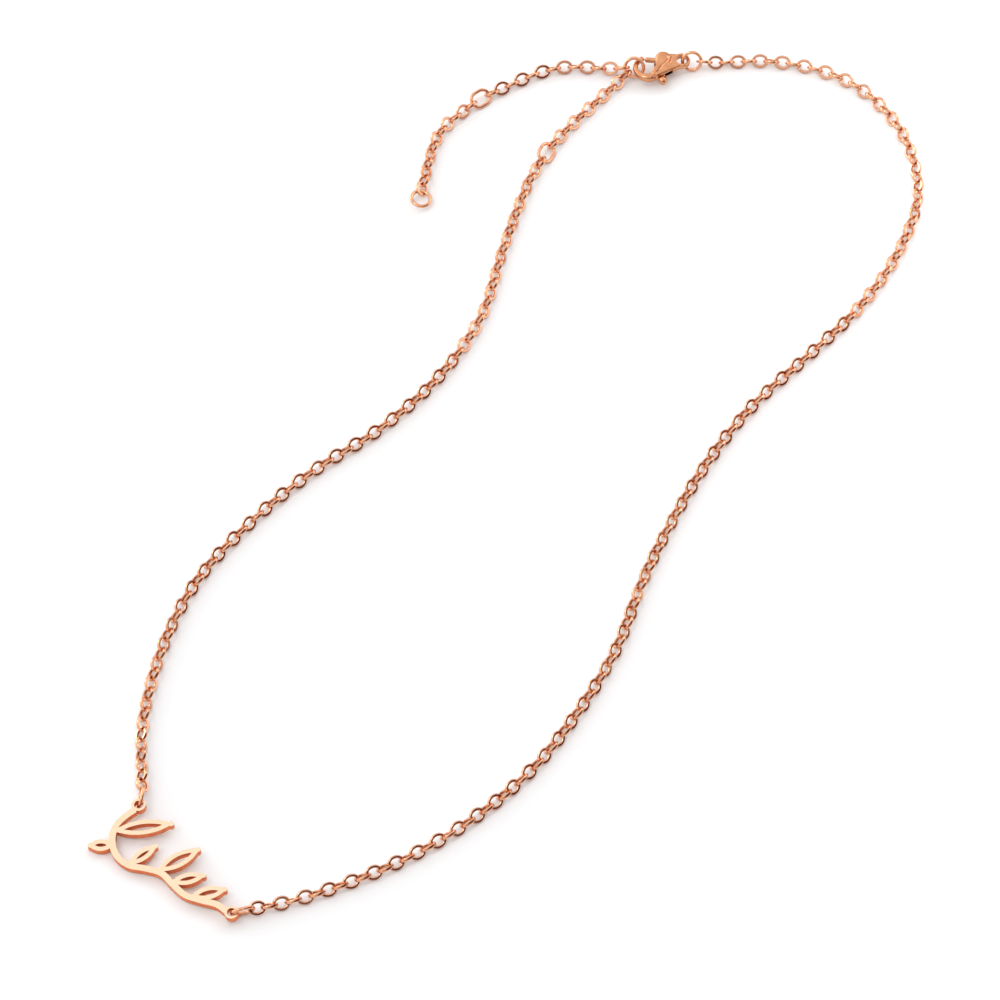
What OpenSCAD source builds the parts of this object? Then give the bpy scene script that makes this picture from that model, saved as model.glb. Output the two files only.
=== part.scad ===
// Pendant necklace lying open on a flat surface, clasp fastened.
// Millimetres, +Z up, the surface is z = 0. The pendant plate is at the front (-Y),
// the clasp and the extender chain are at the back (+Y).

/* [Chain links] */
// Distance from link to link along the chain, before it is fitted to each run
link_pitch = 1.84; // [1.6:0.02:2.2]
// Width of a link across its long sides
link_w = 2.3; // [2.0:0.1:2.8]
// Width of the link's flattened wire, seen on the link's face
link_wire = 0.38; // [0.3:0.02:0.5]
// Thickness of the link's flattened wire, through the link
link_t = 0.36; // [0.3:0.02:0.44]
// Free play between two links that hang in each other
link_gap = 0.2; // [0.18:0.01:0.25]
// Lean of every link from lying flat, to one side and the other in turn
link_lean = 45; // [38:1:52]

/* [Round jump rings] */
// Outside diameter of the three round rings
ring_od = 3.6; // [3.4:0.1:4.4]
// Wire diameter of all jump rings
ring_wire = 0.5; // [0.4:0.05:0.6]
// Free play between a ring and what hangs in it
ring_gap = 0.3; // [0.26:0.01:0.34]
// Tilt of the ring that the hook holds
catch_ring_tilt = 44; // [42:1:50]
// Tilt of the ring in the clasp's eye
clasp_ring_tilt = 60; // [57:1:66]
// Tilt of the ring at the end of the extender
end_ring_tilt = 28; // [20:1:40]

/* [Oval jump rings] */
// Length of an oval ring
oval_l = 3.9; // [3.7:0.1:4.5]
// Width of an oval ring
oval_w = 3; // [2.8:0.1:3.4]
// Lean of the two oval rings at the plate from lying flat
plate_ring_lean = 74; // [70:1:82]
// Lean of the two oval rings between chain runs from lying flat
joiner_lean = 35; // [30:1:45]

/* [Plate] */
// Thickness of the cut metal plate
plate_t = 1.1; // [0.8:0.05:1.2]
// Width of the stem that runs along the plate
stem_w = 1; // [0.8:0.05:1.3]
// Width of the rim that is left round a pierced leaf
leaf_rim = 0.72; // [0.5:0.02:0.8]
// Outside diameter of the two eyelets
eyelet_od = 2.15; // [2.05:0.05:2.6]
// Hole diameter of the two eyelets
eyelet_hole = 1.35; // [1.35:0.05:1.5]
// Turn of the plate as it lies, seen from above
plate_turn = -7; // [-12:1:-2]

/* [Clasp body] */
// Height of the clasp's middle plane above the surface
clasp_lift = 1.7; // [1.6:0.05:2.2]
// Thickness of the raised drop-shaped cheek
cheek_t = 2.5; // [2.2:0.1:2.8]
// Radius of the cheek's round end
cheek_r = 1.3; // [1.1:0.05:1.5]
// Thickness of the body under the cheek
body_t = 2.1; // [1.9:0.05:2.2]
// Inside radius of the hook
hook_r = 1.45; // [1.4:0.05:1.7]
// Width of the hook's bar
hook_bar = 0.9; // [0.7:0.05:1.0]
// Thickness of the hook's bar
hook_t = 1.1; // [0.9:0.05:1.15]
// Distance from the lever's pin to the middle of the hook, along the clasp
hook_reach = 2.6; // [2.5:0.05:3.0]
// Distance from the lever's pin to the middle of the hook, across the clasp
hook_drop = 1.25; // [1.15:0.05:1.4]
// Distance from the lever's pin to the eye
eye_reach = 3; // [2.8:0.05:3.6]
// Radius of the eye's hole
eye_hole_r = 0.95; // [0.9:0.05:1.1]
// Width of the metal round the eye's hole
eye_rim = 0.5; // [0.4:0.05:0.7]
// Thickness of the eye
eye_t = 1; // [0.8:0.05:1.1]

/* [Clasp lever] */
// Thickness of the lever
lever_t = 0.8; // [0.6:0.05:0.9]
// Half width of the lever's gate arm
gate_r = 0.36; // [0.3:0.02:0.42]
// Distance from the pin to the thumb knob
knob_reach = 3.75; // [3.6:0.05:4.2]
// Radius of the thumb knob
knob_r = 0.62; // [0.5:0.02:0.7]
// Swing of the lever from shut to open
lever_swing = 25; // [15:1:28]
// Diameter of the lever's pin
pin_d = 0.7; // [0.5:0.05:0.9]
// Clearance round the pin and beside the lever
fit = 0.08; // [0.05:0.01:0.1]

/* [Hidden] */
round_fn = 48;
hull_fn = 28;
rose = "#d8a078";
rose_pale = "#f2cba0";
rose_deep = "#c98f66";

// The routes of the chain, seen from above, as it lies in one open loop.
route_left = [[-30, -68], [-33.5, -55], [-34.5, -41.5], [-32, -28], [-27.5, -15],
              [-21.5, -3], [-17.5, 10], [-16.5, 23.5], [-19, 37], [-21, 50.5]];
route_left_top = [[-19.5, 66]];
route_right = [[7, -83.5], [15.5, -73.5], [22, -62.5], [26.5, -50.5], [28.5, -38], [29, -25],
               [27.5, -12], [27, 0.5], [27.5, 13.5], [29.5, 26], [33.5, 38.5], [37, 50.5],
               [38.35, 63.5], [36.5, 76], [29, 86.5], [18, 92.2], [5.5, 91.3]];
route_extender = [[-27, 74.7]];
route_tail = [[-38.4, 54]];

// Where the pieces that are not links lie, and which way they point, in degrees from +X.
plate_at = [-23.7, -81.4];
plate_ring_left_turn = 108;
plate_ring_right_turn = 41;
joiner_at = [-21, 58];
joiner_turn = 88;
clasp_at = [-11.5, 82.8];
clasp_turn = 25;
extender_joiner_at = [-35.4, 63.7];
extender_joiner_turn = 243;
end_ring_at = [-35.3, 40.9];
end_ring_turn = 118;
catch_ring_to_chain = 219;

// Helpers for the plane and for lists.
function last(v) = v[len(v) - 1];
function unit(a) = [cos(a), sin(a)];
function flat(p) = [p.x, p.y];
function turned(p, a) = [p.x * cos(a) - p.y * sin(a), p.x * sin(a) + p.y * cos(a)];
function heading(v) = atan2(v.y, v.x);

// A smooth curve through the points p, as a list of points.
curve_steps = 10;
function curve_at(a, b, c, d, t) =
    0.5 * (2 * b + (c - a) * t + (2 * a - 5 * b + 4 * c - d) * t * t + (3 * b - a - 3 * c + d) * t * t * t);
function curve(p) =
    let (q = concat([2 * p[0] - p[1]], p, [2 * last(p) - p[len(p) - 2]]))
    concat([for (i = [1:len(q) - 3], k = [0:curve_steps - 1])
               curve_at(q[i - 1], q[i], q[i + 1], q[i + 2], k / curve_steps)],
           [last(p)]);
function travelled(p) = [for (i = 0, s = 0; i < len(p); s = s + (i + 1 < len(p) ? norm(p[i + 1] - p[i]) : 0),
                              i = i + 1) s];
function along(p, s, at) = [lookup(at, [for (i = [0:len(p) - 1]) [s[i], p[i].x]]),
                            lookup(at, [for (i = [0:len(p) - 1]) [s[i], p[i].y]])];

// Half the height of a flat ring of width w and wire thickness t that leans by a degrees.
function leaning(w, t, a) = w / 2 * sin(abs(a)) + t / 2 * cos(a);

// Number of links in a run of length l. Parity 0 or 1 asks for an even or an odd number.
function link_count(l) = max(2, round(l / link_pitch));
function link_count_of(l, parity) = max(2 + parity, 2 * round((l / link_pitch - parity) / 2) + parity);

// Each run is a list of joints, one more than its links. A joint is the middle of the play between
// two pieces. The first and last joint belong to the pieces at the ends of the run, and where they
// are higher than the chain's axis the run comes down to it over a few links.
link_axis_z = leaning(link_w, link_t, link_lean);
settle_links = 3;
function settle(j) = j < settle_links ? pow(1 - j / settle_links, 2) : 0;
function run_path(from, route, to) = curve(concat([flat(from)], route, [flat(to)]));
function run_length(from, route, to) = last(travelled(run_path(from, route, to)));
function run_joints(from, route, to, n) =
    let (p = run_path(from, route, to), s = travelled(p), step = last(s) / n)
    [for (j = [0:n]) concat(along(p, s, j * step), [link_axis_z + (from.z - link_axis_z) * settle(j)
                                                    + (to.z - link_axis_z) * settle(n - j)])];

// Round rings: a point in a ring's wire plane, at angle a round the ring.
ring_inner = ring_od / 2 - ring_wire;
ring_reach = ring_inner - ring_gap / 2;
function on_ring(centre, turn, tilt, a, r) =
    centre + concat(turned([r * cos(a), r * sin(a) * cos(tilt)], turn), [r * sin(a) * sin(tilt)]);

// Oval rings: joints at both ends of an oval ring.
oval_reach = oval_l / 2 - ring_wire - ring_gap / 2;
joiner_z = leaning(oval_w - ring_wire, 0, joiner_lean) + ring_wire / 2;
function oval_joint(at, turn, side) = concat(at + side * oval_reach * unit(turn), [max(joiner_z, link_axis_z)]);

// The plate: the outline is drawn from the left eyelet, and the right eyelet lies at plate_span.
plate_span = [22.1, -8.3];
eyelet_seat = 0.46;
eyelet_settle = 0.05;
plate_ring_z = leaning(oval_w - ring_wire, 0, plate_ring_lean) + ring_wire / 2;
eyelet_z = max(plate_ring_z - eyelet_settle, plate_t / 2 + ring_wire + ring_gap / 2);
plate_right_at = plate_at + turned(plate_span, plate_turn);
plate_ring_offset = eyelet_hole / 2 - eyelet_seat + oval_l / 2 - ring_wire;
plate_ring_left_at = plate_at + plate_ring_offset * unit(plate_ring_left_turn);
plate_ring_right_at = plate_right_at + plate_ring_offset * unit(plate_ring_right_turn);
left_start = concat(plate_ring_left_at + oval_reach * unit(plate_ring_left_turn), [plate_ring_z]);
right_start = concat(plate_ring_right_at + oval_reach * unit(plate_ring_right_turn), [plate_ring_z]);

// The clasp: plan positions are measured from the lever's pin, +X to the eye, -X to the hook.
hook_mid = [-hook_reach, -hook_drop];
hook_bar_r = hook_r + hook_bar / 2;
hook_tip_angle = 118;
hook_heel_angle = 302;
hook_tip = hook_mid + hook_bar_r * unit(hook_tip_angle);
hook_heel = hook_mid + hook_bar_r * unit(hook_heel_angle);
eye_r = eye_hole_r + eye_rim;
eye_side = 0.05;
eye_mid = [eye_reach, eye_side];
cheek_mid = [0.3, 0.35];
heel_shift = [0.35, 0.15];
heel_mid = hook_heel + heel_shift;
heel_r = 0.75;
bevel = 0.25;
function on_clasp(p) = concat(clasp_at + turned(p, clasp_turn), [clasp_lift]);

// The rings at the clasp.
hook_play = 0.66;
eye_play = 0.52;
hook_crossing = hook_mid - [hook_r - ring_wire / 2 - hook_play, 0];
catch_ring_mid = on_clasp(hook_crossing - [ring_od / 2 - ring_wire / 2, 0]);
eye_crossing = eye_mid + [eye_hole_r - ring_wire / 2 - eye_play, 0];
clasp_ring_mid = on_clasp(eye_crossing + [ring_od / 2 - ring_wire / 2, 0]);
left_end = on_ring(catch_ring_mid, clasp_turn, catch_ring_tilt, catch_ring_to_chain, ring_reach);
right_end = on_ring(clasp_ring_mid, clasp_turn, clasp_ring_tilt, 0, ring_reach);
extender_start = on_ring(catch_ring_mid, clasp_turn, catch_ring_tilt, 180, ring_reach);
end_ring_z = max(leaning(ring_od - ring_wire, 0, end_ring_tilt) + ring_wire / 2, link_axis_z);
extender_end = concat(end_ring_at + ring_reach * unit(end_ring_turn), [end_ring_z]);

// The lever, with its gate pointing at the hook's tip.
gate_angle = heading(hook_tip);
gate_reach = norm(hook_tip) - hook_bar / 2 - fit - gate_r;
knob_angle = -91;
lever_hub_rim = 0.3;
lever_hub_r = pin_d / 2 + lever_hub_rim;
knob_arm_r = 0.38;
pin_cover = 0.25;
pin_l = body_t - 2 * pin_cover;

// Runs and their numbers of links. A link leans the other way than its neighbours, so the numbers of
// links decide which way the oval rings and the end ring lean.
left_joint_in = oval_joint(joiner_at, joiner_turn, -1);
left_joint_out = oval_joint(joiner_at, joiner_turn, 1);
extender_joint_in = oval_joint(extender_joiner_at, extender_joiner_turn, -1);
extender_joint_out = oval_joint(extender_joiner_at, extender_joiner_turn, 1);
top_n = link_count(run_length(left_joint_out, route_left_top, left_end));
left_n = link_count_of(run_length(left_start, route_left, left_joint_in), (top_n + 1) % 2);
right_n = link_count_of(run_length(right_start, route_right, right_end), 1);
extender_n = link_count(run_length(extender_start, route_extender, extender_joint_in));
tail_n = link_count(run_length(extender_joint_out, route_tail, extender_end));
function side_of(i) = i % 2 == 0 ? 1 : -1;
left_last_side = -side_of(left_n - 1);
extender_last_side = -side_of(extender_n - 1);
tail_last_side = extender_last_side * side_of(tail_n - 1);

// The sprig that is cut from the plate: the stem's middle line, then one row for each leaf.
stem_line = [[0, -1], [-0.7, -2.9], [-0.9, -4.9], [0, -7.1], [1.9, -8.8], [4.4, -9.3], [7, -8.5],
             [9.4, -8], [11.9, -8.7], [14.4, -9.3], [17, -8.9], [19.4, -8.3], [21.3, -8.5]];
leaf_base = 0;
leaf_tip = 1;
leaf_width = 2;
LEAVES = [[[0.6, -7.6], [-2.7, -9.5], 2],
          [[-0.8, -5.6], [6.3, -0.1], 2.5],
          [[4.4, -9.2], [6.2, -4.4], 1.9],
          [[8.7, -8], [12.1, -1.7], 2.5],
          [[11.5, -8.6], [15.3, -5], 2],
          [[15.4, -9.2], [19.3, -5.4], 2.2]];
tip_round = 0.42;
tip_cover = 0.12;
plate_points = concat(stem_line, [for (l = LEAVES) l[leaf_tip]]);
plate_drop = max([for (p = plate_points) -cross(plate_span, p) / norm(plate_span)]) + stem_w / 2;
plate_lean = asin((eyelet_z - plate_t / 2) / plate_drop);

// One link, lying flat at the origin along X, its outside length l.
module stadium(l, w) {
    for (s = [-1, 1]) translate([s * (l - w) / 2, 0]) circle(d = w, $fn = round_fn);
    square([l - w, w], center = true);
}

module link(l) {
    translate([0, 0, -link_t / 2]) linear_extrude(link_t) difference() {
        stadium(l, link_w);
        stadium(l - 2 * link_wire, link_w - 2 * link_wire);
    }
}

// Carries a piece from the origin to the middle of the joints a and b, leaning by lean degrees.
module between(a, b, lean) {
    way = b - a;
    translate((a + b) / 2)
        rotate([0, -atan2(way.z, norm(flat(way))), heading(way)])
            rotate([-lean, 0, 0]) children();
}

module run(joints, first_side) {
    for (i = [0:len(joints) - 2])
        between(joints[i], joints[i + 1], first_side * side_of(i) * link_lean)
            link(norm(joints[i + 1] - joints[i]) + link_gap + 2 * link_wire);
}

// Jump rings, lying flat at the origin.
module round_ring() {
    rotate_extrude($fn = round_fn) translate([(ring_od - ring_wire) / 2, 0]) circle(d = ring_wire, $fn = round_fn);
}

module oval_ring() {
    bow = (oval_w - ring_wire) / 2;
    straight = oval_l - oval_w;
    for (s = [0, 180]) rotate([0, 0, s]) {
        translate([straight / 2, 0, 0]) rotate([0, 0, -90])
            rotate_extrude(angle = 180, $fn = round_fn) translate([bow, 0]) circle(d = ring_wire, $fn = round_fn);
        translate([-straight / 2, bow, 0]) rotate([0, 90, 0]) cylinder(d = ring_wire, h = straight, $fn = round_fn);
    }
}

// The plate's sprig: a stem of even width and pierced leaves, each between two equal arcs.
module stem() {
    line = curve(stem_line);
    n = len(line) - 1;
    side = [for (i = [0:n]) let (v = line[min(i + 1, n)] - line[max(i - 1, 0)])
               stem_w / 2 * [-v.y, v.x] / norm(v)];
    polygon(concat([for (i = [0:n]) line[i] + side[i]], [for (i = [n:-1:0]) line[i] - side[i]]));
}

module leaf(base, tip, width, inset) {
    l = norm(tip - base);
    r = (l * l / 4 + width * width / 4) / width;
    translate((base + tip) / 2) rotate(heading(tip - base)) intersection() {
        translate([0, r - width / 2]) circle(r = r - inset, $fn = 2 * round_fn);
        translate([0, width / 2 - r]) circle(r = r - inset, $fn = 2 * round_fn);
    }
}

module sheet(h) {
    translate([0, 0, -h / 2]) linear_extrude(h) children();
}

module sprig() {
    sheet(plate_t) stem();
    for (l = LEAVES) {
        sheet(plate_t) leaf(l[leaf_base], l[leaf_tip], l[leaf_width], 0);
        sheet(plate_t) translate(l[leaf_tip] - (tip_round - tip_cover) * unit(heading(l[leaf_tip] - l[leaf_base])))
            circle(r = tip_round, $fn = round_fn);
    }
    for (at = [[0, 0], plate_span]) sheet(plate_t) translate(at) circle(d = eyelet_od, $fn = round_fn);
}

module nameplate() {
    color(rose_pale)
        translate(concat(plate_at, [eyelet_z])) rotate([0, 0, plate_turn])
            rotate(a = plate_lean, v = concat(plate_span, [0])) difference() {
                sprig();
                for (l = LEAVES) sheet(2 * plate_t) leaf(l[leaf_base], l[leaf_tip], l[leaf_width], leaf_rim);
                for (at = [[0, 0], plate_span]) translate(concat(at, [-plate_t]))
                    cylinder(d = eyelet_hole, h = 2 * plate_t, $fn = round_fn);
            }
}

module plate_ring_left() {
    color(rose_deep) translate(concat(plate_ring_left_at, [plate_ring_z]))
        rotate([0, 0, plate_ring_left_turn]) rotate([-plate_ring_lean, 0, 0]) oval_ring();
}

module plate_ring_right() {
    color(rose_deep) translate(concat(plate_ring_right_at, [plate_ring_z]))
        rotate([0, 0, plate_ring_right_turn]) rotate([-plate_ring_lean, 0, 0]) oval_ring();
}

module chain_left() {
    color(rose) run(run_joints(left_start, route_left, left_joint_in, left_n), -1);
}

module chain_joiner() {
    color(rose_deep) between(left_joint_in, left_joint_out, -left_last_side * joiner_lean) oval_ring();
}

module chain_left_top() {
    color(rose) run(run_joints(left_joint_out, route_left_top, left_end, top_n), left_last_side);
}

module catch_ring() {
    color(rose_deep) translate(catch_ring_mid)
        rotate([0, 0, clasp_turn]) rotate([catch_ring_tilt, 0, 0]) round_ring();
}

module clasp_ring() {
    color(rose_deep) translate(clasp_ring_mid)
        rotate([0, 0, clasp_turn]) rotate([clasp_ring_tilt, 0, 0]) round_ring();
}

module chain_right() {
    color(rose) run(run_joints(right_start, route_right, right_end, right_n), -1);
}

module extender_chain() {
    color(rose) run(run_joints(extender_start, route_extender, extender_joint_in, extender_n), -1);
}

module extender_joiner() {
    color(rose_deep)
        between(extender_joint_in, extender_joint_out, -extender_last_side * joiner_lean) oval_ring();
}

module extender_tail() {
    color(rose) run(run_joints(extender_joint_out, route_tail, extender_end, tail_n), extender_last_side);
}

module end_ring() {
    color(rose_deep) translate(concat(end_ring_at, [end_ring_z])) rotate([0, 0, end_ring_turn])
        rotate([-tail_last_side * end_ring_tilt, 0, 0]) round_ring();
}

// Parts of the clasp, in the clasp's own plane.
module on_clasp_plane() {
    translate(concat(clasp_at, [clasp_lift])) rotate([0, 0, clasp_turn]) children();
}

module disc(at, r, h, fn = round_fn) {
    translate(concat(at, [-h / 2])) cylinder(r = r, h = h, $fn = fn);
}

module bevelled_disc(at, r, h) {
    disc(at, r, h - 2 * bevel, hull_fn);
    disc(at, r - bevel, h, hull_fn);
}

module hook() {
    translate(hook_mid) rotate([0, 0, hook_tip_angle])
        rotate_extrude(angle = hook_heel_angle - hook_tip_angle, $fn = round_fn)
            translate([hook_bar_r, 0]) intersection() {
                circle(d = norm([hook_bar, hook_t]) - bevel, $fn = round_fn);
                square([hook_bar, hook_t], center = true);
            }
    disc(hook_tip, hook_bar / 2, hook_t - bevel);
}

// The room that the lever's arm needs from shut to open, h high.
module swing_room(angle, reach, r, h) {
    linear_extrude(h, center = true) hull() {
        circle(r = lever_hub_r + fit, $fn = hull_fn);
        for (a = [0, lever_swing]) translate(reach * unit(angle + a)) circle(r = r + fit, $fn = hull_fn);
    }
}

module clasp_body() {
    slot = lever_t + 2 * fit;
    color(rose) on_clasp_plane() difference() {
        union() {
            hull() {
                bevelled_disc(eye_mid, eye_r, eye_t);
                bevelled_disc(cheek_mid, cheek_r, body_t);
                bevelled_disc(heel_mid, heel_r, body_t);
            }
            hull() {
                bevelled_disc(cheek_mid, cheek_r - bevel / 2, cheek_t);
                bevelled_disc(heel_mid, heel_r - bevel / 2, cheek_t);
            }
            hook();
        }
        disc(hook_mid, hook_r, 2 * cheek_t);
        disc(eye_mid, eye_hole_r, 2 * cheek_t);
        swing_room(gate_angle, gate_reach, gate_r, slot);
        swing_room(knob_angle, knob_reach, knob_arm_r, slot);
        disc([0, 0], pin_d / 2 + fit / 2, pin_l + 2 * fit);
    }
}

module clasp_lever() {
    color(rose_deep) on_clasp_plane() difference() {
        union() {
            linear_extrude(lever_t, center = true) {
                hull() {
                    circle(r = lever_hub_r, $fn = hull_fn);
                    translate(gate_reach * unit(gate_angle)) circle(r = gate_r, $fn = hull_fn);
                }
                hull() {
                    circle(r = lever_hub_r, $fn = hull_fn);
                    translate(knob_reach * unit(knob_angle)) circle(r = knob_arm_r, $fn = hull_fn);
                }
            }
            translate(knob_reach * unit(knob_angle)) sphere(r = knob_r, $fn = round_fn);
        }
        disc([0, 0], pin_d / 2 + fit / 2, 2 * lever_t);
    }
}

module clasp_pin() {
    color(rose_deep) on_clasp_plane() disc([0, 0], pin_d / 2, pin_l);
}

nameplate();
plate_ring_left();
plate_ring_right();
chain_left();
chain_joiner();
chain_left_top();
catch_ring();
clasp_body();
clasp_lever();
clasp_pin();
clasp_ring();
chain_right();
extender_chain();
extender_joiner();
extender_tail();
end_ring();
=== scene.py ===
"""Pendant necklace lying as one open loop: chains of flat-faced oval links, round and oval jump
rings, a cut plate with a leafy sprig, and a lobster clasp with its sprung lever.

Everything is in metres, in the part's own frame, but for the clasp, which is cast in millimetres
in a plane of its own and then put in its place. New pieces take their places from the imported
nodes that they stand for, and their surfaces are worked out as whole numpy arrays.
"""

import bmesh
import bpy
import numpy as np
from mathutils import Matrix, Vector


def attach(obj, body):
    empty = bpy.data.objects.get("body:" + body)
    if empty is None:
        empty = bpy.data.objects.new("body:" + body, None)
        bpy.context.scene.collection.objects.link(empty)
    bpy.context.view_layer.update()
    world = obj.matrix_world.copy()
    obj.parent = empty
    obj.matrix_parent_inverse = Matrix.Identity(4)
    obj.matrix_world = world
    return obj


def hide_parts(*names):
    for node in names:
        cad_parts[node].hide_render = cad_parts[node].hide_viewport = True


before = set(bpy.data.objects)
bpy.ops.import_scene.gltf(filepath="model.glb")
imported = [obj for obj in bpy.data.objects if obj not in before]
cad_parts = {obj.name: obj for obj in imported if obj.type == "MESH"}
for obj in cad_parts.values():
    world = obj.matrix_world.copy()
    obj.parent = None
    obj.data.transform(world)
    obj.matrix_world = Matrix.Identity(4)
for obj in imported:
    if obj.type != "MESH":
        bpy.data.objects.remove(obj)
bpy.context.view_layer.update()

MM = 0.001
NECKLACE, LEVER = "necklace", "lever"


# Shader nodes

def add_node(tree, kind, inputs=(), **settings):
    """A new shader node with its settings made. Each input, by its name or number, is linked
    where a socket is given, and set where a value is given."""
    node = tree.nodes.new("ShaderNode" + kind)
    for setting, value in settings.items():
        setattr(node, setting, value)
    for key, value in dict(inputs).items():
        if isinstance(value, bpy.types.NodeSocket):
            tree.links.new(value, node.inputs[key])
        else:
            node.inputs[key].default_value = value
    return node


def mix(tree, kind, factor, under, over, **settings):
    """The result of a Mix node, which holds a pair of inputs and an output for every kind."""
    first, result = {"FLOAT": (2, 0), "VECTOR": (4, 1), "RGBA": (6, 2)}[kind]
    inputs = {"Factor": factor, first: under, first + 1: over}
    return add_node(tree, "Mix", inputs, data_type=kind, **settings).outputs[result]


# Camera, floor and light

PHOTO_TURN = 25.0                       # degrees that the photograph looks round the loop
CAMERA_AT = np.array([226.2, -489.8, 750.0]) * MM
LOOK_AT = np.array([1.0, -6.9, 0.0]) * MM
LENS, SENSOR = 213.7, 36.0              # millimetres
CLIP_NEAR, CLIP_FAR = 0.05, 20
FLOOR_SIZE, FLOOR_DROP = 6.0, 0.01 * MM
FLOOR_SHADE = (0.957, 0.985, 1.0, 1)
FLOOR_ROUGHNESS, FLOOR_SPECULAR = 0.8, 0.1

# The photograph's own directions, on the floor and up.
RIGHT = np.array([np.cos(np.radians(PHOTO_TURN)), np.sin(np.radians(PHOTO_TURN)), 0])
AWAY = np.array([-RIGHT[1], RIGHT[0], 0])
UP = np.array([0.0, 0.0, 1.0])


def toward(right, away, up):
    """A unit direction from its shares to the photograph's right, away from it and up."""
    d = right * RIGHT + away * AWAY + up * UP
    return d / np.linalg.norm(d)


def make_camera():
    """The photograph's camera, which looks down on the loop from its front right."""
    camera = bpy.data.objects.new("camera", bpy.data.cameras.new("camera"))
    bpy.context.scene.collection.objects.link(camera)
    camera.data.lens, camera.data.sensor_width = LENS, SENSOR
    camera.data.clip_start, camera.data.clip_end = CLIP_NEAR, CLIP_FAR
    camera.location = CAMERA_AT
    camera.rotation_euler = Vector(LOOK_AT - CAMERA_AT).to_track_quat("-Z", "Y").to_euler()
    bpy.context.scene.camera = camera


# Soft patches of the studio: direction, angles where a patch is full and where it ends, and how
# bright it is, or how far the room is dimmed there to the warm shade.
ROOM_LEVEL = 1.08
ROOM_WHITE, ROOM_SHADE = (1.0, 0.992, 0.985, 1), (0.095, 0.006, 0.001, 1)
BRIGHT_PATCHES = [
    (toward(-0.1, 0.5, 0.86), 14, 40, 0.12),
    (toward(0.5, 0.55, 0.65), 4, 12, 2.5),
    (toward(-0.85, 0.5, 0.1), 18, 48, 0.6),
    (toward(-0.8, 0.57, 0.16), 5, 15, 3.5),
    (toward(-0.4, -0.15, 0.9), 4, 9, 7.0),
]
DARK_PATCHES = [
    (toward(0.78, -0.42, 0.44), 25, 44, 0.97),
    (toward(0.96, 0.1, 0.22), 19, 38, 0.92),
    (toward(0.1, -0.9, 0.35), 10, 36, 0.5),
    (toward(0.5, 0.86, 0.0), 10, 30, 0.75),
]
# A low panel stands beside the back half of the loop, and faces it.
PANEL_AT = (122.0, 97.0, 48.0)          # to the photograph's right, away and up, in millimetres
PANEL_SIZE = (150.0, 84.0)              # length and height
PANEL_LIGHT = 1.5


def make_world():
    """Light that depends on direction alone: the room's level, mixed toward the warm shade by each
    dark patch, plus each bright patch. A patch fades smoothly with the angle from its middle."""
    world = bpy.data.worlds.new("studio")
    bpy.context.scene.world = world
    world.use_nodes = True
    tree = world.node_tree
    tree.nodes.clear()
    direction = add_node(tree, "TexCoord").outputs["Generated"]

    def patch(way, full, end, strength):
        """A patch's strength: a smooth step on the cosine of the angle from its middle."""
        near = add_node(tree, "VectorMath", {0: direction, 1: tuple(way)}, operation="DOT_PRODUCT")
        step = {"Value": near.outputs["Value"], "From Min": np.cos(np.radians(end)),
                "From Max": np.cos(np.radians(full)), "To Min": 0, "To Max": strength}
        return add_node(tree, "MapRange", step, interpolation_type="SMOOTHSTEP").outputs["Result"]

    light = tuple(ROOM_LEVEL * c for c in ROOM_WHITE)
    for dark in DARK_PATCHES:
        light = mix(tree, "RGBA", patch(*dark), light, ROOM_SHADE, clamp_factor=False)
    for bright in BRIGHT_PATCHES:
        light = mix(tree, "RGBA", patch(*bright), light, ROOM_WHITE, blend_type="ADD", clamp_factor=False)
    background = add_node(tree, "Background", {"Color": light})
    add_node(tree, "OutputWorld", {"Surface": background.outputs[0]})


def make_panel():
    """The low panel: an even rectangle of light that stands upright and looks to the left."""
    lamp = bpy.data.lights.new("side_panel", "AREA")
    lamp.shape = "RECTANGLE"
    lamp.size, lamp.size_y = (s * MM for s in PANEL_SIZE)
    # A flat lamp of radiance L gives pi times its area times L.
    lamp.energy = np.pi * lamp.size * lamp.size_y * PANEL_LIGHT
    panel = bpy.data.objects.new("side_panel", lamp)
    bpy.context.scene.collection.objects.link(panel)
    right, away, up = (s * MM for s in PANEL_AT)
    panel.location = right * RIGHT + away * AWAY + up * UP
    panel.rotation_euler = Matrix((AWAY, UP, RIGHT)).transposed().to_euler()
    panel.visible_camera = False


def make_floor():
    """One flat pale sheet, a hair below what lies on it."""
    half = FLOOR_SIZE / 2
    mesh = bpy.data.meshes.new("floor")
    mesh.from_pydata([(-half, -half, -FLOOR_DROP), (half, -half, -FLOOR_DROP),
                      (half, half, -FLOOR_DROP), (-half, half, -FLOOR_DROP)], [], [(0, 1, 2, 3)])
    floor = bpy.data.objects.new("floor", mesh)
    bpy.context.scene.collection.objects.link(floor)
    paper = bpy.data.materials.new("pale_floor")
    paper.use_nodes = True
    shader = paper.node_tree.nodes["Principled BSDF"]
    shader.inputs["Base Color"].default_value = FLOOR_SHADE
    shader.inputs["Roughness"].default_value = FLOOR_ROUGHNESS
    shader.inputs["Specular IOR Level"].default_value = FLOOR_SPECULAR
    mesh.materials.append(paper)


make_camera()
make_world()
make_panel()
make_floor()
bpy.context.scene.view_settings.view_transform = "Standard"


# Metal finishes

CLOUD_LOW, CLOUD_HIGH = 0.35, 0.7       # the noise values where a cloud starts and is full
SCRATCH_LOW, SCRATCH_HIGH = 0.35, 0.75  # the noise values of a clear surface and of a full scratch
WAVE_SCALE = 1800                       # of the slow waviness, per metre
SCRATCH_SHARE = 0.25                    # of a scratch beside a wave, in the bump
BUMP_HEIGHT = 0.01 * MM

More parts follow.
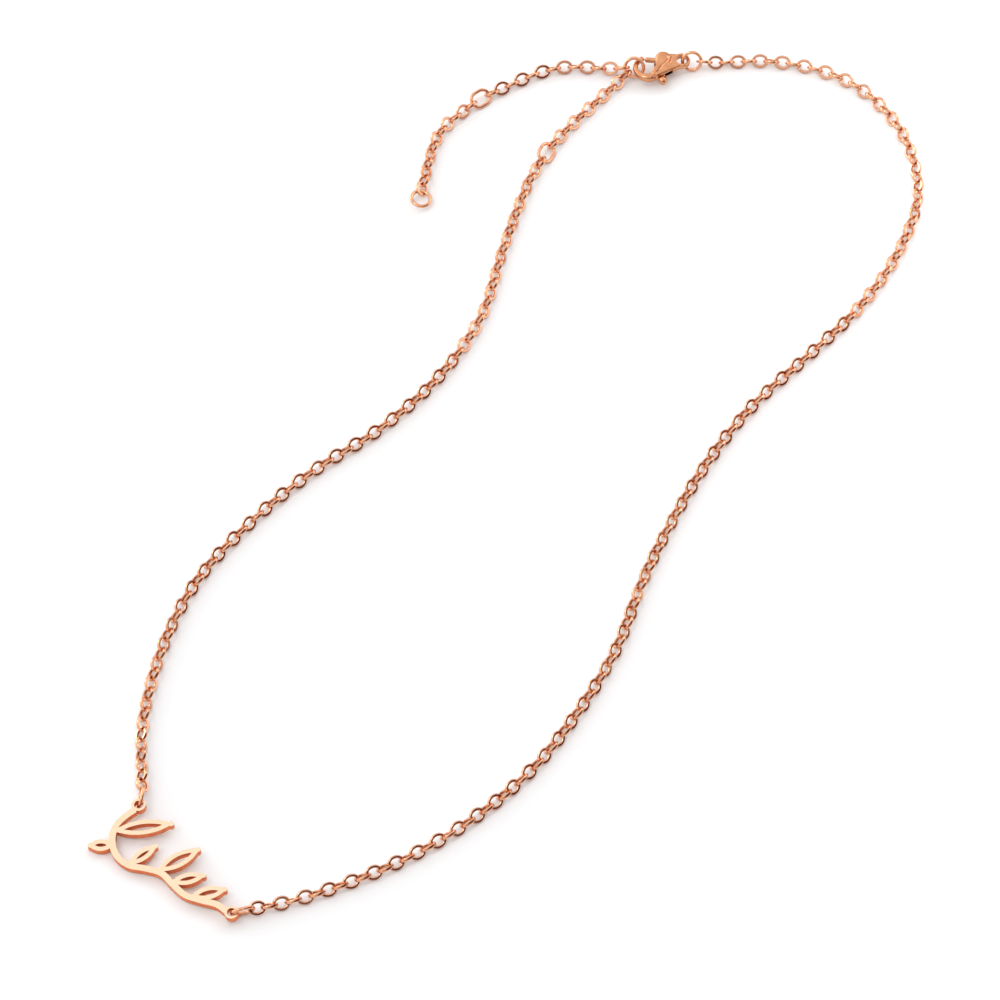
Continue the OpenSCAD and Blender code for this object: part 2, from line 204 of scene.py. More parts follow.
LINK_TINT, LINK_DEEP = (0.82, 0.44, 0.27, 1), (0.70, 0.31, 0.17, 1)
RING_TINT, RING_DEEP = (0.82, 0.43, 0.26, 1), (0.70, 0.31, 0.17, 1)
# The clasp's tints are darker than the links': partly the casting's browner tone, partly painted shade
# laid over the whole clasp.
CLASP_TINT_AND_SHADE, CLASP_DEEP_AND_SHADE = (0.69, 0.335, 0.175, 1), (0.50, 0.20, 0.09, 1)
# The fronts' paler tints are a painted highlight and the walls' deeper tints are painted shade, both on
# the same rose gold.
FACE_TINT_AND_HIGHLIGHT, FACE_DEEP_AND_HIGHLIGHT = (0.93, 0.68, 0.48, 1), (0.90, 0.62, 0.41, 1)
WALL_TINT_AND_SHADE, WALL_DEEP_AND_SHADE = (0.83, 0.25, 0.1, 1), (0.66, 0.15, 0.05, 1)


def new_group(name, inputs, outputs):
    """A shader node group with named sockets, each input given as its name, kind and value.
    Returns the group, what it is given and where its results go."""
    group = bpy.data.node_groups.new(name, "ShaderNodeTree")
    for label, kind, value in inputs:
        socket = group.interface.new_socket(label, in_out="INPUT", socket_type="NodeSocket" + kind)
        socket.default_value = value
    for label, kind in outputs:
        group.interface.new_socket(label, in_out="OUTPUT", socket_type="NodeSocket" + kind)
    return group, group.nodes.new("NodeGroupInput").outputs, group.nodes.new("NodeGroupOutput").inputs


def make_plating_group():
    """Colour of plated metal: clouds a millimetre wide drift from the main tint to the deeper one,
    and each link or ring keeps a shade of its own, read from the piece's attribute."""
    group, given, out = new_group(
        "plating_tint",
        [("Tint", "Color", (0.8, 0.5, 0.35, 1)), ("Deep Tint", "Color", (0.7, 0.35, 0.2, 1)),
         ("Cloud Scale", "Float", 700.0), ("Cloud Amount", "Float", 0.5),
         ("Shade Amount", "Float", 0.3)],
        [("Color", "Color")])
    place = add_node(group, "TexCoord").outputs["Object"]
    clouds = add_node(group, "TexNoise", {"Vector": place, "Scale": given["Cloud Scale"], "Detail": 3})
    spread = add_node(group, "MapRange", {"Value": clouds.outputs["Fac"], "From Min": CLOUD_LOW,
                                          "From Max": CLOUD_HIGH})
    cloud_part = add_node(group, "Math", {0: spread.outputs["Result"], 1: given["Cloud Amount"]},
                          operation="MULTIPLY")
    shade = add_node(group, "Attribute", attribute_name="shade")
    deepness = add_node(group, "Math", {0: shade.outputs["Fac"], 1: given["Shade Amount"],
                                        2: cloud_part.outputs[0]}, operation="MULTIPLY_ADD")
    tint = mix(group, "RGBA", deepness.outputs[0], given["Tint"], given["Deep Tint"])
    group.links.new(tint, out["Color"])
    return group


def make_polish_group():
    """Roughness and bump of a polished surface: fine scratches are noise drawn out along one axis,
    over a slow waviness that the polishing wheel leaves."""
    group, given, out = new_group(
        "polish_marks",
        [("Smooth", "Float", 0.12), ("Dull", "Float", 0.3), ("Scratch Scale", "Float", 9000.0),
         ("Stretch", "Vector", (1.0, 1.0, 0.08)), ("Depth", "Float", 0.25)],
        [("Roughness", "Float"), ("Normal", "Vector")])
    place = add_node(group, "TexCoord").outputs["Object"]
    drawn = add_node(group, "VectorMath", {0: place, 1: given["Stretch"]}, operation="MULTIPLY")
    scratches = add_node(group, "TexNoise", {"Vector": drawn.outputs[0], "Detail": 2,
                                             "Scale": given["Scratch Scale"]}).outputs["Fac"]
    waves = add_node(group, "TexNoise", {"Vector": place, "Detail": 1, "Scale": WAVE_SCALE}).outputs["Fac"]
    dulled = add_node(group, "MapRange", {"Value": scratches, "From Min": SCRATCH_LOW,
                                          "From Max": SCRATCH_HIGH, "To Min": given["Smooth"],
                                          "To Max": given["Dull"]})
    group.links.new(dulled.outputs["Result"], out["Roughness"])
    height = add_node(group, "Math", {0: scratches, 1: SCRATCH_SHARE, 2: waves}, operation="MULTIPLY_ADD")
    bump = add_node(group, "Bump", {"Distance": BUMP_HEIGHT, "Strength": given["Depth"],
                                    "Height": height.outputs[0]})
    group.links.new(bump.outputs["Normal"], out["Normal"])
    return group


PLATING, POLISH = make_plating_group(), make_polish_group()


def placed(tree, group, **values):
    """The outputs of the group, placed in the tree with its inputs set by name."""
    inputs = {label.replace("_", " "): value for label, value in values.items()}
    return add_node(tree, "Group", inputs, node_tree=group).outputs


def rose_metal(name, plating, polish):
    """A rose-gold plated metal from the two groups."""
    material = bpy.data.materials.new(name)
    material.use_nodes = True
    tree = material.node_tree
    shader = tree.nodes["Principled BSDF"].inputs
    shader["Metallic"].default_value = 1.0
    tint, marks = placed(tree, PLATING, **plating), placed(tree, POLISH, **polish)
    tree.links.new(tint["Color"], shader["Base Color"])
    tree.links.new(marks["Roughness"], shader["Roughness"])
    tree.links.new(marks["Normal"], shader["Normal"])
    return material


def plate_metal():
    """The cut plate: polished faces with a paler tint as a painted highlight, and cut walls that are
    duller, drawn with fine lines through the thickness, and deeper in tint as painted shade. The
    attribute wall says which face is which."""
    material = rose_metal(
        "plate_rose_gold",
        dict(Tint=FACE_TINT_AND_HIGHLIGHT, Deep_Tint=FACE_DEEP_AND_HIGHLIGHT, Cloud_Scale=350.0, Cloud_Amount=0.4, Shade_Amount=0.0),
        dict(Smooth=0.2, Dull=0.3, Scratch_Scale=5000.0, Stretch=(1.0, 0.12, 1.0), Depth=0.04))
    tree = material.node_tree
    shader = tree.nodes["Principled BSDF"].inputs
    tint = placed(tree, PLATING, Tint=WALL_TINT_AND_SHADE, Deep_Tint=WALL_DEEP_AND_SHADE, Cloud_Scale=1500.0,
                  Cloud_Amount=0.6, Shade_Amount=0.0)
    marks = placed(tree, POLISH, Smooth=0.28, Dull=0.5, Scratch_Scale=14000.0,
                   Stretch=(1.0, 1.0, 0.04), Depth=0.6)
    wall = add_node(tree, "Attribute", attribute_name="wall").outputs["Fac"]
    # The wall attribute mixes the walls' painted shade in over the fronts' painted highlight; the walls'
    # duller roughness and fine lines are their own.
    for kind, target, over in (("RGBA", "Base Color", tint["Color"]),
                               ("FLOAT", "Roughness", marks["Roughness"]),
                               ("VECTOR", "Normal", marks["Normal"])):
        face = shader[target].links[0].from_socket
        tree.links.new(mix(tree, kind, wall, face, over), shader[target])
    return material


LINK_METAL = rose_metal(
    "link_rose_gold",
    dict(Tint=LINK_TINT, Deep_Tint=LINK_DEEP, Cloud_Scale=900.0, Cloud_Amount=0.35, Shade_Amount=0.45),
    dict(Smooth=0.1, Dull=0.22, Scratch_Scale=9000.0, Stretch=(1.0, 0.3, 1.0), Depth=0.2))
RING_METAL = rose_metal(
    "ring_rose_gold",
    dict(Tint=RING_TINT, Deep_Tint=RING_DEEP, Cloud_Scale=800.0, Cloud_Amount=0.4, Shade_Amount=0.25),
    dict(Smooth=0.1, Dull=0.24, Scratch_Scale=11000.0, Stretch=(0.4, 1.0, 1.0), Depth=0.15))
# Its darker tints hold painted shade over the whole clasp, beside the casting's browner tone.
CLASP_METAL = rose_metal(
    "clasp_rose_gold",
    dict(Tint=CLASP_TINT_AND_SHADE, Deep_Tint=CLASP_DEEP_AND_SHADE, Cloud_Scale=450.0, Cloud_Amount=0.55, Shade_Amount=0.2),
    dict(Smooth=0.14, Dull=0.26, Scratch_Scale=5000.0, Stretch=(1.0, 0.2, 1.0), Depth=0.1))
PLATE_METAL = plate_metal()


# Meshes

SAME_DIGITS = 8                         # decimals of a metre to which a shared corner agrees


def finish_piece(obj, body, nodes, material):
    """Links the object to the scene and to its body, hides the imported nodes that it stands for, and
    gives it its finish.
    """
    if obj.name not in bpy.context.scene.collection.objects:
        bpy.context.scene.collection.objects.link(obj)
    obj.data.materials.clear()
    obj.data.materials.append(material)
    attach(obj, body)
    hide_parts(*nodes)
    return obj


def mesh_object(name, points, faces):
    """An object with a new mesh, not yet linked to the scene."""
    mesh = bpy.data.meshes.new(name)
    mesh.from_pydata(points.reshape(-1, 3), [], faces)
    mesh.update()
    return bpy.data.objects.new(name, mesh)


def grid_quads(rows, columns, closed=True):
    """Corner numbers of the quads of a grid of points. The grid closes round its columns, and round
    its rows too unless it is left open."""
    i, j = np.meshgrid(np.arange(rows if closed else rows - 1), np.arange(columns), indexing="ij")
    i2, j2 = (i + 1) % rows, (j + 1) % columns
    quads = np.stack([i * columns + j, i2 * columns + j, i2 * columns + j2, i * columns + j2], -1)
    return quads.reshape(-1, 4)


def set_values(mesh, name, kind, domain, values):
    """Writes one value for each point, edge or face into the mesh's attribute."""
    layer = mesh.attributes.get(name) or mesh.attributes.new(name, kind, domain)
    layer.data.foreach_set("value", values)


def edge_ends(mesh):
    """The two corners of every edge."""
    ends = np.empty(len(mesh.edges) * 2, int)
    mesh.edges.foreach_get("vertices", ends)
    return ends.reshape(-1, 2)


def circle(angles):
    """Points of the unit circle in the plane at these angles, in radians."""
    return np.stack([np.cos(angles), np.sin(angles)], -1)


def round_angles(count):
    """Evenly spaced angles once round, from zero."""
    return np.linspace(0, 2 * np.pi, count, endpoint=False)


def loose_parts(node):
    """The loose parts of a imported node: their centres, their three axes and their three lengths.

    Triangles that share a corner belong together: every corner takes the lowest label round it
    until nothing changes. A part's axes are those of its points' spread, the longest first and
    the thinnest last, and its centre is the middle of its box along them.
    """
    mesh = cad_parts[node].data
    points = np.empty(len(mesh.vertices) * 3)
    mesh.vertices.foreach_get("co", points)
    mesh.calc_loop_triangles()
    corners = np.empty(len(mesh.loop_triangles) * 3, int)
    mesh.loop_triangles.foreach_get("vertices", corners)
    points, same = np.unique(np.round(points.reshape(-1, 3), SAME_DIGITS), axis=0,
                             return_inverse=True)
    corners = same.ravel()[corners].reshape(-1, 3)
    label = np.arange(len(points))
    while True:
        lowest = label.copy()
        np.minimum.at(lowest, corners.ravel(), np.repeat(label[corners].min(1), 3))
        lowest = lowest[lowest]
        if (lowest == label).all():
            break
        label = lowest
    parts = []
    for part in np.unique(label):
        p = points[label == part]
        axes = np.linalg.eigh(np.cov((p - p.mean(0)).T))[1][:, ::-1].T
        axes[2] *= 1 if axes[2, 2] >= 0 else -1
        axes[1] = np.cross(axes[2], axes[0])
        reach = p @ axes.T
        parts.append(((reach.max(0) + reach.min(0)) / 2 @ axes, axes, np.ptp(reach, axis=0)))
    return [np.array(x) for x in zip(*parts)]


# Chains

LINK_STEPS = 20                 # round the link
LINK_WIRE, LINK_THICK = 0.5 * MM, 0.48 * MM
LINK_SPREAD = 0.02 * MM         # how much the pressed wire spreads past its nominal outline
LINK_BEVEL = 0.13 * MM          # width of the round side beside a flat face
LEAN_PLAY = 7.0                 # degrees that a link may lie off its place
SEED = 11
chance = np.random.default_rng(SEED)


def link_section():
    """The link's section, across the wire and through it. Its flat faces lie between the corners
    1 and 2, and 4 and 5."""
    side, flat, high = LINK_WIRE / 2, LINK_WIRE / 2 - LINK_BEVEL, LINK_THICK / 2
    return np.array([[side, 0], [flat, high], [-flat, high], [-side, 0], [-flat, -high], [flat, -high]])


LINK_SECTION, FLAT_CORNERS = link_section(), [1, 2, 4, 5]


def chain(node):
    """All links of one chain as one mesh.

    A link is its six-sided section carried round an ellipse: middle line (A cos t, B sin t), its
    normal (B cos t, A sin t) made a unit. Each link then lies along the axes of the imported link
    that it stands for, turned a little about its length, and is lifted where it would sink.
    """
    centre, axes, size = loose_parts(node)
    count = len(centre)
    t = round_angles(LINK_STEPS)
    a, b = ((size[:, k, None] + LINK_SPREAD - LINK_WIRE) / 2 for k in (0, 1))
    across = np.stack([b * np.cos(t), a * np.sin(t)], -1)
    across /= np.linalg.norm(across, axis=-1, keepdims=True)
    middle = np.stack([a * np.cos(t), b * np.sin(t)], -1)
    flat = middle[:, :, None] + across[:, :, None] * LINK_SECTION[:, 0, None]
    through = np.broadcast_to(LINK_SECTION[:, 1, None], flat.shape[:-1] + (1,))
    local = np.concatenate([flat, through], -1).reshape(count, -1, 3)
    play = np.radians(chance.uniform(-LEAN_PLAY, LEAN_PLAY, count))[:, None]
    y, z = axes[:, 1], axes[:, 2]
    turned = np.stack([axes[:, 0], y * np.cos(play) + z * np.sin(play),
                       z * np.cos(play) - y * np.sin(play)], 1)
    points = np.einsum("nki,nij->nkj", local, turned) + centre[:, None]
    points[..., 2] += np.maximum(0, -points[..., 2].min(1))[:, None]
    corners = LINK_STEPS * len(LINK_SECTION)
    quads = grid_quads(LINK_STEPS, len(LINK_SECTION)) + (np.arange(count) * corners)[:, None, None]
    obj = mesh_object(node + "_links", points, quads.reshape(-1, 4))
    mesh = obj.data
    mesh.shade_smooth()
    corner = edge_ends(mesh) % len(LINK_SECTION)
    crisp = (corner[:, 0] == corner[:, 1]) & np.isin(corner[:, 0], FLAT_CORNERS)
    set_values(mesh, "sharp_edge", "BOOLEAN", "EDGE", crisp)
    shades = np.repeat(chance.random(count), corners).astype(np.float32)
    set_values(mesh, "shade", "FLOAT", "POINT", shades)
    return finish_piece(obj, NECKLACE, [node], LINK_METAL)


for node in ("chain_left", "chain_left_top", "chain_right", "extender_chain", "extender_tail"):
    chain(node)


# Jump rings

RING_STEPS, RING_ROUND = 72, 14
RING_WIRE = 0.56 * MM
CUT_WIDTH = 0.03 * MM           # the fine gap where a jump ring is pressed shut
END_RING_FACING = toward(0.1, -0.45, 0.9)


def faced_about(centre, hung_on, facing):
    """The axes of a free ring that hangs on the nearest loose part of a node: it is turned about
    the line to that part, until it faces the given way as far as it can."""
    others = loose_parts(hung_on)[0]
    line = centre - others[np.argmin(np.linalg.norm(others - centre, axis=1))]
    line /= np.linalg.norm(line)
    face = facing - facing @ line * line
    face /= np.linalg.norm(face)
    return np.stack([line, np.cross(face, line), face])


def jump_ring(node, hung_on=None, facing=None):
    """An open tube that almost closes on itself, with flat ends at the cut.

    The middle line is an arc, or two arcs with a straight run between them: the point at angle t
    is r (cos t, sin t) moved along the ring's length by half the straight run, to the side that
    t is on. A circle of wire is carried along it. The cut is in the middle of one long side.
    """
    (centre,), (axes,), (size,) = loose_parts(node)
    if hung_on:
        axes = faced_about(centre, hung_on, facing)
    r = (size[1] - RING_WIRE) / 2
    straight = size[0] - size[1]
    # The two sides of the cut are just off t = 90 degrees.
    cut = CUT_WIDTH / 2 / r
    t = np.pi / 2 + np.linspace(cut, 2 * np.pi - cut, RING_STEPS)
    side = np.sign(np.cos(t)) * straight / 2
    if straight > CUT_WIDTH:
        side[0], side[-1] = -CUT_WIDTH / 2, CUT_WIDTH / 2
    across = np.stack([np.cos(t), np.sin(t), 0 * t], -1)
    middle = r * across + np.stack([side, 0 * t, 0 * t], -1)
    s = round_angles(RING_ROUND)
    wire = across[:, None] * np.cos(s)[:, None] + np.array([0, 0, 1]) * np.sin(s)[:, None]
    points = (middle[:, None] + RING_WIRE / 2 * wire) @ axes + centre
    points[..., 2] += max(0, -points[..., 2].min())
    last = (RING_STEPS - 1) * RING_ROUND
    ends = [list(range(RING_ROUND)), list(range(last + RING_ROUND - 1, last - 1, -1))]
    quads = grid_quads(RING_STEPS, RING_ROUND, closed=False).tolist()
    obj = mesh_object(node + "_wire", points, quads + ends)
    mesh = obj.data
    mesh.shade_smooth()
    row = edge_ends(mesh) // RING_ROUND
    rim = (row[:, 0] == row[:, 1]) & np.isin(row[:, 0], [0, RING_STEPS - 1])
    set_values(mesh, "sharp_edge", "BOOLEAN", "EDGE", rim)
    shades = np.full(len(mesh.vertices), chance.random(), np.float32)
    set_values(mesh, "shade", "FLOAT", "POINT", shades)
    return finish_piece(obj, NECKLACE, [node], RING_METAL)


for node in ("plate_ring_left", "plate_ring_right", "chain_joiner", "catch_ring", "clasp_ring",
             "extender_joiner"):
    jump_ring(node)
jump_ring("end_ring", "extender_tail", END_RING_FACING)


# Plate

EDGE_ROUNDING, ROUNDING_STEPS = 0.07 * MM, 3
SAME_POINT = 0.0005 * MM        # corners nearer than this are one
FLAT_WITHIN = np.radians(0.6)   # faces that lean less than this to each other are one
SHARP_OVER = np.radians(50)     # edges that turn more than this get a rounding
PLATE_CREASE = np.radians(24)   # edges that turn more than this are shaded crisp
FACING_UP = 0.9                 # the least upward share of the front face's normals
# How much a face is cut wall and takes the walls' painted shade: from its lean off the front, 1 on the
# walls and 0 on the fronts.
WALL_LEVEL, WALL_FALL = 1.15, 1.2


def bake_modifiers(obj):
    """Makes the object's modifiers part of its mesh."""
    bpy.context.view_layer.update()
    made = bpy.data.meshes.new_from_object(obj.evaluated_get(bpy.context.evaluated_depsgraph_get()))
    obj.modifiers.clear()
    obj.data = made


def cut_plate():
    """The plate's own outline with its edges broken: flats are made whole, every sharp edge gets a
    narrow rounding, and each face is marked as flat, rounding or cut wall by its lean."""
    shape = bmesh.new()
    shape.from_mesh(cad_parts["nameplate"].data)
    bmesh.ops.remove_doubles(shape, verts=shape.verts, dist=SAME_POINT)
    bmesh.ops.dissolve_limit(shape, angle_limit=FLAT_WITHIN, verts=shape.verts, edges=shape.edges)
    mesh = bpy.data.meshes.new("plate")
    shape.to_mesh(mesh)
    shape.free()
    plate = bpy.data.objects.new("plate", mesh)
    bpy.context.scene.collection.objects.link(plate)
    rounding = plate.modifiers.new("rounding", "BEVEL")
    rounding.width, rounding.segments = EDGE_ROUNDING, ROUNDING_STEPS
    rounding.limit_method, rounding.angle_limit = "ANGLE", SHARP_OVER
    rounding.use_clamp_overlap = True
    bake_modifiers(plate)
    mesh = plate.data
    normals = np.empty(len(mesh.polygons) * 3)
    areas = np.empty(len(mesh.polygons))
    mesh.polygons.foreach_get("normal", normals)
    mesh.polygons.foreach_get("area", areas)
    normals = normals.reshape(-1, 3)
    front = (normals * (areas * (normals[:, 2] > FACING_UP))[:, None]).sum(0)
    lean = np.abs(normals @ (front / np.linalg.norm(front)))
    wall = np.clip(WALL_LEVEL - WALL_FALL * lean, 0, 1).astype(np.float32)
    set_values(mesh, "wall", "FLOAT", "FACE", wall)
    mesh.shade_smooth()
    mesh.set_sharp_from_angle(angle=PLATE_CREASE)
    return finish_piece(plate, NECKLACE, ["nameplate"], PLATE_METAL)


cut_plate()


# Clasp

# Its own plane is in millimetres, with the hook to the left, the eye to the right and the lever's
# pin at the middle.

CLASP_AT = np.array([-11.5, 82.8, 1.7]) * MM
CLASP_TURN = np.radians(25)

HOOK_MID, HOOK_INSIDE = np.array([-2.6, -1.25]), 1.45
HOOK_TIP, HOOK_HEEL = 103, 306          # degrees round the hook
HOOK_STATIONS = [HOOK_TIP, 125, 165, 215, 245, 275, HOOK_HEEL]
HOOK_HALF = [0.46, 0.44, 0.42, 0.48, 0.62, 0.72, 0.75]
HOOK_TALL = [0.48, 0.5, 0.5, 0.55, 0.62, 0.72, 0.8]
HOOK_TURNS, HOOK_STEPS = 60, 100        # points of its middle line, and sections along it
EYE_MID, EYE_HOLE, EYE_RIM, EYE_TALL = np.array([3.0, 0.05]), 0.95, 0.5, 0.47

HUB_ROUND = 0.65
LEVER_THICK, LEVER_PLAY, LEVER_SWING = 0.8, 0.08, 25
GATE_ANGLE, GATE_REACH, GATE_HALF = 173.0, 2.628, 0.4
GATE_WAIST, GATE_BOW = 0.42, 0.03       # half width at its middle, and how far the middle is off line
KNOB_ANGLE, KNOB_REACH, KNOB_HALF, KNOB_ROUND = -91.0, 4.08, 0.4, 0.7
ARM_THICK, ARM_WAIST = 0.56, 0.5
NECK_START, NECK_HALF = 0.77, 0.48      # share of the reach where the knob's drop starts
PIN_ROUND, PIN_HALF, PIN_PLAY = 0.35, 1.05, 0.03

# How boxy a rod's section is: 2 is an ellipse, and more comes nearer to a box.
SQUARE_HOOK, SQUARE_EYE, SQUARE_ARM, SQUARE_HUB, SQUARE_KNOB = 2.4, 2.6, 3, 4, 2.1
THROUGH, CRISP = 2.0, 0.01              # half depth of a hole right through, and its edge's round
VOXEL = 0.05                            # of the castings' skin
SOFTEN_BY, BODY_SOFTENING, LEVER_SOFTENING = 0.5, 16, 5
BODY_CREASE, LEVER_CREASE = np.radians(38), np.radians(50)

# Round pads that a skin is drawn over: middle, radius, half height and how round the edge is.
BODY_PADS = [((0.25, 0.1), 1.4, 0.62, 0.4), ((-1.08, -2.72), 0.88, 0.85, 0.5),
             ((0.6, -1.5), 1.0, 0.62, 0.4), ((2.7, 0.05), 1.25, 0.48, 0.33)]
CHEEK_PADS = [((0.02, 0.08), 1.36, 1.38, 0.85), ((-0.75, -1.5), 0.85, 1.28, 0.7),
              ((-1.5, -2.95), 0.45, 0.9, 0.35)]
PAD_AROUND, PAD_EDGE = 40, 7            # points round a pad, and over its edge
SWING_STEPS = 6


def unit(degrees):
    """The unit direction at this angle in the clasp's plane."""
    return circle(np.radians(degrees))


def tight_skin(cloud):
    """The smallest solid without hollows round a cloud of points: its corners and its faces."""
    shape = bmesh.new()
    for point in cloud.reshape(-1, 3).tolist():
        shape.verts.new(point)
    hull = bmesh.ops.convex_hull(shape, input=shape.verts)
    spare = hull["geom_interior"] + hull["geom_unused"]
    inside = {v for v in spare if isinstance(v, bmesh.types.BMVert)}
    bmesh.ops.delete(shape, geom=list(inside), context="VERTS")
    bmesh.ops.recalc_face_normals(shape, faces=shape.faces)
    shape.verts.index_update()
    corners = np.array([v.co[:] for v in shape.verts])
    faces = [[v.index for v in f.verts] for f in shape.faces]
    shape.free()
    return corners, faces


def padded(pads):
    """The tight skin over round pads. A pad's edge is a quarter round of radius e on a disc of
    radius r and half height h: (r - e + e cos q, h - e + e sin q), and the same below."""
    rim = circle(round_angles(PAD_AROUND))
    q = np.linspace(0, np.pi / 2, PAD_EDGE)
    cloud = []
    for middle, r, h, e in pads:
        out = (r - e + e * np.cos(q))[:, None, None] * rim
        high = np.broadcast_to((h - e + e * np.sin(q))[:, None, None], out.shape[:2] + (1,))
        cloud += [np.concatenate([out + middle, s * high], -1).reshape(-1, 3) for s in (-1, 1)]
    return tight_skin(np.concatenate(cloud))


def box_round(angles, square):
    """The rounded box |u|^square + |z|^square = 1 at these angles."""
    return (np.sign(f) * np.abs(f) ** (2 / square) for f in (np.cos(angles), np.sin(angles)))


def rod(line, half_width, half_height, square=SQUARE_HOOK, steps=48, around=28):
    """A closed rod in the clasp's plane, as a shell: its points and its quads.

    The line's points are joined by straight runs, and sections lie along it, closer together near
    its ends. A section is the rounded box |u / w|^square + |z / h|^square = 1, with w and h going
    evenly between the given halves. Near each end both shrink as a circle does, so that the rod
    closes in a round end.
    """
    line = np.asarray(line, float)
    way = np.r_[0, np.cumsum(np.linalg.norm(np.diff(line, axis=0), axis=1))]
    w_end, h_end = np.asarray(half_width, float), np.asarray(half_height, float)
    total = way[-1]
    s = total * (1 - np.cos(np.linspace(0, np.pi, steps))) / 2
    middle = np.stack([np.interp(s, way, line[:, k]) for k in (0, 1)], -1)
    w, h = (np.interp(s, np.linspace(0, total, len(v)), v) for v in (w_end, h_end))
    near = np.minimum(s / w_end[0], (total - s) / w_end[-1])
    closing = np.sqrt(1 - np.clip(1 - near, 0, 1) ** 2)
    along = np.gradient(middle, s, axis=0)
    along /= np.linalg.norm(along, axis=1, keepdims=True)
    across = np.stack([-along[:, 1], along[:, 0]], -1)
    u, z = box_round(round_angles(around), square)
    plan = middle[:, None] + across[:, None] * ((w * closing)[:, None] * u)[..., None]
    points = np.concatenate([plan, ((h * closing)[:, None] * z)[..., None]], -1)
    # The quads are wound the other way round, so that they face out.
    return points, grid_quads(steps, around, closed=False)[:, [0, 3, 2, 1]].tolist()


def eye_ring(middle, radius, half_width, half_height, rows=64, columns=20):
    """A ring with a rounded-box section, flat in the clasp's plane, as points and quads."""
    u, z = box_round(round_angles(columns), SQUARE_EYE)
    out = circle(round_angles(rows))
    plan = middle + out[:, None] * (radius + half_width * u)[None, :, None]
    high = np.broadcast_to((half_height * z)[None, :, None], plan.shape[:2] + (1,))
    return np.concatenate([plan, high], -1), grid_quads(rows, columns).tolist()


def cast(name, shells, softening):
    """Shells in millimetres, run together into one smooth casting: a voxel skin round all of them,
    then softened this many times."""
    points, faces, start = [], [], 0
    for shell, corners in shells:
        points.append(shell.reshape(-1, 3))
        faces += [[c + start for c in face] for face in corners]
        start += len(points[-1])
    obj = mesh_object(name, np.concatenate(points), faces)
    bpy.context.scene.collection.objects.link(obj)
    skin = obj.modifiers.new("skin", "REMESH")
    skin.mode, skin.voxel_size, skin.adaptivity = "VOXEL", VOXEL, 0
    soft = obj.modifiers.new("soft", "SMOOTH")
    soft.factor, soft.iterations = SOFTEN_BY, softening
    bake_modifiers(obj)
    return obj


def cut_away(obj, points, faces):
    """Takes the solid with these points and faces out of the object."""
    tool = mesh_object("cutter", points, faces)
    bpy.context.scene.collection.objects.link(tool)
    cut = obj.modifiers.new("cut", "BOOLEAN")
    cut.operation, cut.solver, cut.object = "DIFFERENCE", "EXACT", tool
    bake_modifiers(obj)
    bpy.data.objects.remove(tool)


def bore(obj, middle, radius, half_depth=THROUGH):
    """Takes a round hole out of the object, right through it unless a depth is given."""
    cut_away(obj, *padded([(middle, radius, half_depth, CRISP)]))


def cut_swing_room(obj, angle, reach, half, thick):
    """Takes out the flat room that an arm of the lever sweeps from shut to open, with play: a tight
    skin round its hub and its end's places."""
    turns = angle + np.linspace(0, LEVER_SWING, SWING_STEPS)
    circles = [(np.zeros(2), HUB_ROUND + LEVER_PLAY)]
    circles += [(reach * unit(a), half + LEVER_PLAY) for a in turns]
    rim = np.concatenate([c + r * circle(round_angles(PAD_AROUND)) for c, r in circles])
    high = thick / 2 + LEVER_PLAY
    cloud = np.concatenate([np.c_[rim, np.full(len(rim), s * high)] for s in (-1, 1)])
    cut_away(obj, *tight_skin(cloud))


def finish_casting(obj, body, node, crease):
    """Takes a casting from millimetres in the clasp's plane to its place, and finishes it."""
    place = Matrix.Translation(CLASP_AT) @ Matrix.Rotation(CLASP_TURN, 4, "Z") @ Matrix.Scale(MM, 4)
    obj.data.transform(place)
    obj.data.update()
    obj.data.shade_smooth()
    obj.data.set_sharp_from_angle(angle=crease)
    return finish_piece(obj, body, [node], CLASP_METAL)


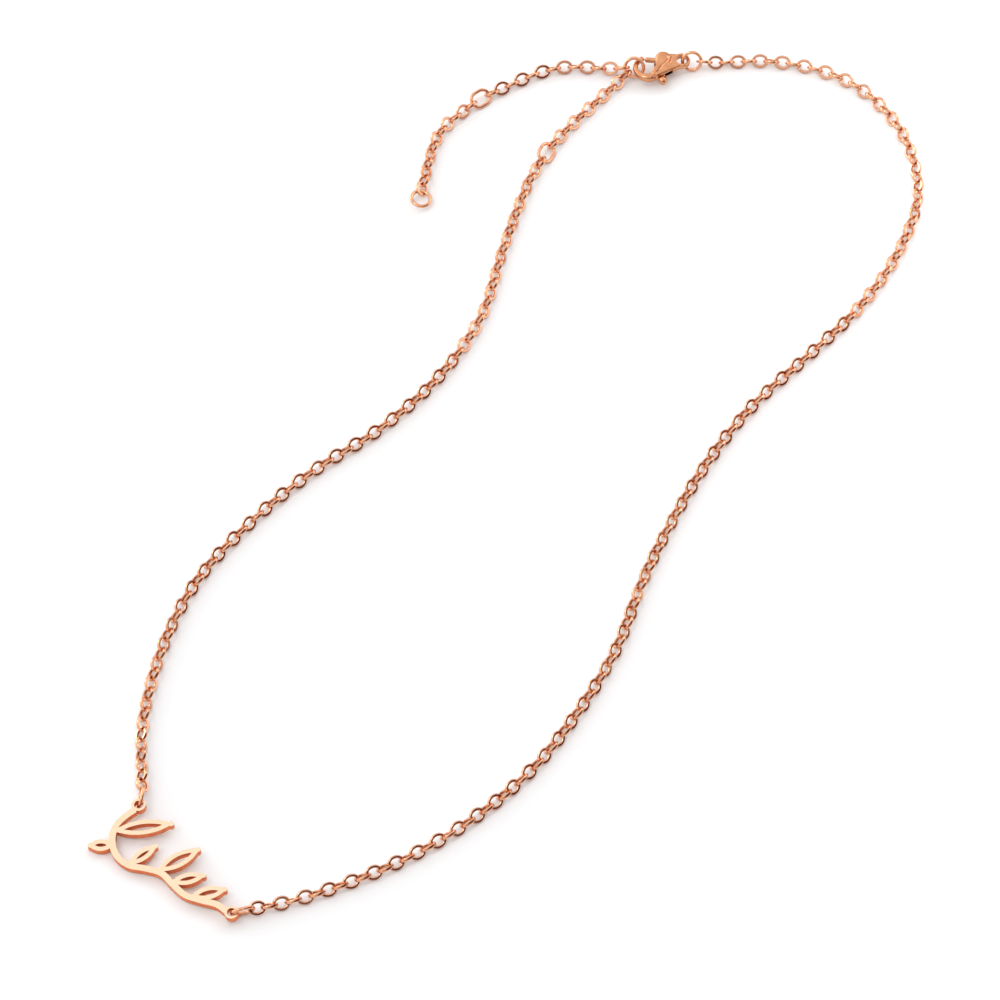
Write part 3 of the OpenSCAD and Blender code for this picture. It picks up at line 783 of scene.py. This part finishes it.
def clasp_body():
    """The casting: a hook that grows from its tip to a broad heel, a body that falls away to the
    eye, and a raised drop-shaped cheek on either face, with a slot for the lever."""
    turn = np.linspace(HOOK_HEEL, HOOK_TIP, HOOK_TURNS)
    half, tall = (np.interp(turn, HOOK_STATIONS, v) for v in (HOOK_HALF, HOOK_TALL))
    hook = rod(HOOK_MID + (HOOK_INSIDE + half)[:, None] * unit(turn), half, tall, steps=HOOK_STEPS)
    eye = eye_ring(EYE_MID, EYE_HOLE + EYE_RIM / 2, EYE_RIM / 2, EYE_TALL)
    shells = [hook, padded(BODY_PADS), padded(CHEEK_PADS), eye]
    obj = cast("clasp_casting", shells, BODY_SOFTENING)
    bore(obj, HOOK_MID, HOOK_INSIDE)
    bore(obj, EYE_MID, EYE_HOLE)
    cut_swing_room(obj, GATE_ANGLE, GATE_REACH, GATE_HALF, LEVER_THICK)
    cut_swing_room(obj, KNOB_ANGLE, KNOB_REACH, KNOB_HALF, ARM_THICK)
    bore(obj, (0, 0), PIN_ROUND, PIN_HALF)
    return finish_casting(obj, NECKLACE, "clasp_body", BODY_CREASE)


def clasp_lever():
    """The lever: a gate arm that reaches the hook's tip, a round hub, and an arm that widens to a
    drop with a ball for the thumb."""
    gate_end, knob_end = GATE_REACH * unit(GATE_ANGLE), KNOB_REACH * unit(KNOB_ANGLE)
    gate_tip = gate_end * (1 + GATE_HALF / GATE_REACH)
    flat, below = LEVER_THICK / 2, (0, KNOB_ROUND)
    drop = [NECK_HALF, KNOB_ROUND]
    gate = rod([(0, 0), gate_end / 2 + (0, GATE_BOW), gate_tip],
               [HUB_ROUND, GATE_WAIST, GATE_HALF, GATE_HALF], [flat] * 4, SQUARE_ARM)
    arm = rod([(0, 0), knob_end], [HUB_ROUND, ARM_WAIST, KNOB_HALF, KNOB_HALF],
              [ARM_THICK / 2] * 4, SQUARE_ARM)
    hub = rod([(-HUB_ROUND, 0), (HUB_ROUND, 0)], [HUB_ROUND] * 2, [flat] * 2, SQUARE_HUB)
    knob = rod([knob_end - below, knob_end + below], [KNOB_ROUND] * 2, [KNOB_ROUND] * 2, SQUARE_KNOB)
    neck = rod([knob_end * NECK_START, knob_end - below], drop, drop, SQUARE_KNOB)
    obj = cast("clasp_thumb_lever", [gate, arm, hub, knob, neck], LEVER_SOFTENING)
    bore(obj, (0, 0), PIN_ROUND + PIN_PLAY, PIN_HALF)
    return finish_casting(obj, LEVER, "clasp_lever", LEVER_CREASE)


clasp_body()
clasp_lever()
for pin_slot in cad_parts["clasp_pin"].material_slots:
    pin_slot.material = RING_METAL
